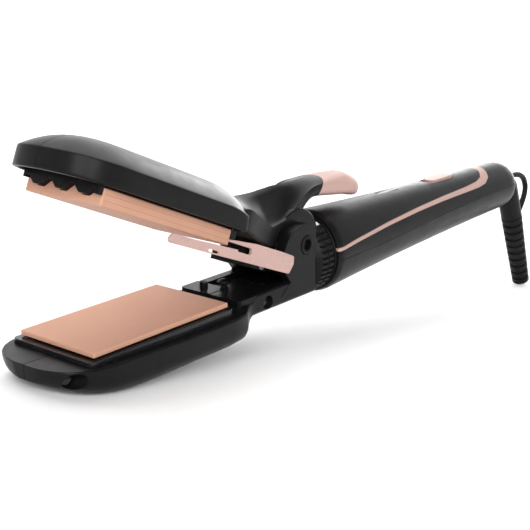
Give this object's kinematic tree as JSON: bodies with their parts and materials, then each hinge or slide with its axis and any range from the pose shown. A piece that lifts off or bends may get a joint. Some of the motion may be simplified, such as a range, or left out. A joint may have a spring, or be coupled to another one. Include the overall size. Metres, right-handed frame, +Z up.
{
  "type": "hair crimper",
  "caption": "Hair crimper with a tapered round handle, two hinged arms with crimping plates under copper covers, a thumb lever, a lock ring and a swivelling cord relief.",
  "frame": {"origin": "on the floor, under the middle of the tool's box; the nose of the lower arm and the rim of the cord relief rest on the floor", "axes": "+X from the nose towards the cord end, +Y across the tool to its right when seen from the nose end looking back, +Z up from the floor"},
  "size_m": [0.411, 0.051, 0.0913],
  "materials": {
    "satin_black": "fine satin moulded plastic",
    "gloss_black": "polished",
    "plain_black": "plain moulded plastic",
    "copper": "copper-coloured satin coating",
    "rose_gold": "pale rose-gold satin",
    "rose_metal": "pale rose-gold anodised sheet",
    "steel": "plain",
    "ceramic": "ceramic",
    "board": "circuit board",
    "white_mark": "printed mark",
    "smoke": "grey translucent light window",
    "rubber": "matt"
  },
  "bodies": {
    "base": {"lower_arm_left_shell": "satin_black", "lower_arm_right_shell": "satin_black", "nose_screw": "steel", "neck_screw": "steel", "lower_bed": "gloss_black", "lower_crimp_plate": "plain_black", "lower_heater": "ceramic", "lower_cover_plate": "copper", "deck_stud": "plain_black", "deck_post": "plain_black", "hinge_pin": "steel", "hinge_cap_left": "plain_black", "hinge_cap_right": "plain_black", "torsion_spring": "steel", "handle_upper_shell": "satin_black", "handle_lower_shell": "satin_black", "handle_trim": "rose_gold", "indicator_window": "smoke", "switch_body": "plain_black", "circuit_board": "board", "handle_screw_front": "steel", "handle_screw_rear": "steel", "head_spigot": "plain_black"},
    "upper_arm": {"upper_arm_left_shell": "satin_black", "upper_arm_right_shell": "satin_black", "lever_tip": "rose_gold", "upper_carrier": "plain_black", "upper_heater": "ceramic", "upper_crimp_plate": "satin_black", "upper_cover_plate": "copper", "latch_bracket": "rose_metal", "bracket_block": "plain_black", "bracket_pin": "steel"},
    "lock_ring": {"lock_ring": "satin_black", "lock_mark": "white_mark"},
    "power_switch": {"power_switch": "rose_gold"},
    "cord_relief": {"swivel_hub": "plain_black", "strain_relief": "rubber"}
  },
  "joints": [
    {"name": "jaw_hinge", "type": "hinge", "parent": "base", "child": "upper_arm", "pos_m": [-0.06401, 0, 0.04613], "axis": [0, 1, 0], "range_deg": [-23.2, 0], "stiffness_Nm_per_rad": 0.25, "springref_deg": -80.21, "deforming": ["torsion_spring"]},
    {"name": "lock_ring_turn", "type": "hinge", "parent": "base", "child": "lock_ring", "pos_m": [-0.04087, 0, 0.03861], "axis": [0.9894, 0, 0.1453], "range_deg": [0, 40]},
    {"name": "power_slide", "type": "slide", "parent": "base", "child": "power_switch", "axis": [-0.9894, 0, -0.1453], "range_m": [0, 0.004]},
    {"name": "cord_swivel", "type": "hinge", "parent": "base", "child": "cord_relief", "pos_m": [0.15721, 0, 0.06769], "axis": [0.9894, 0, 0.1453], "continuous": true}
  ]
}
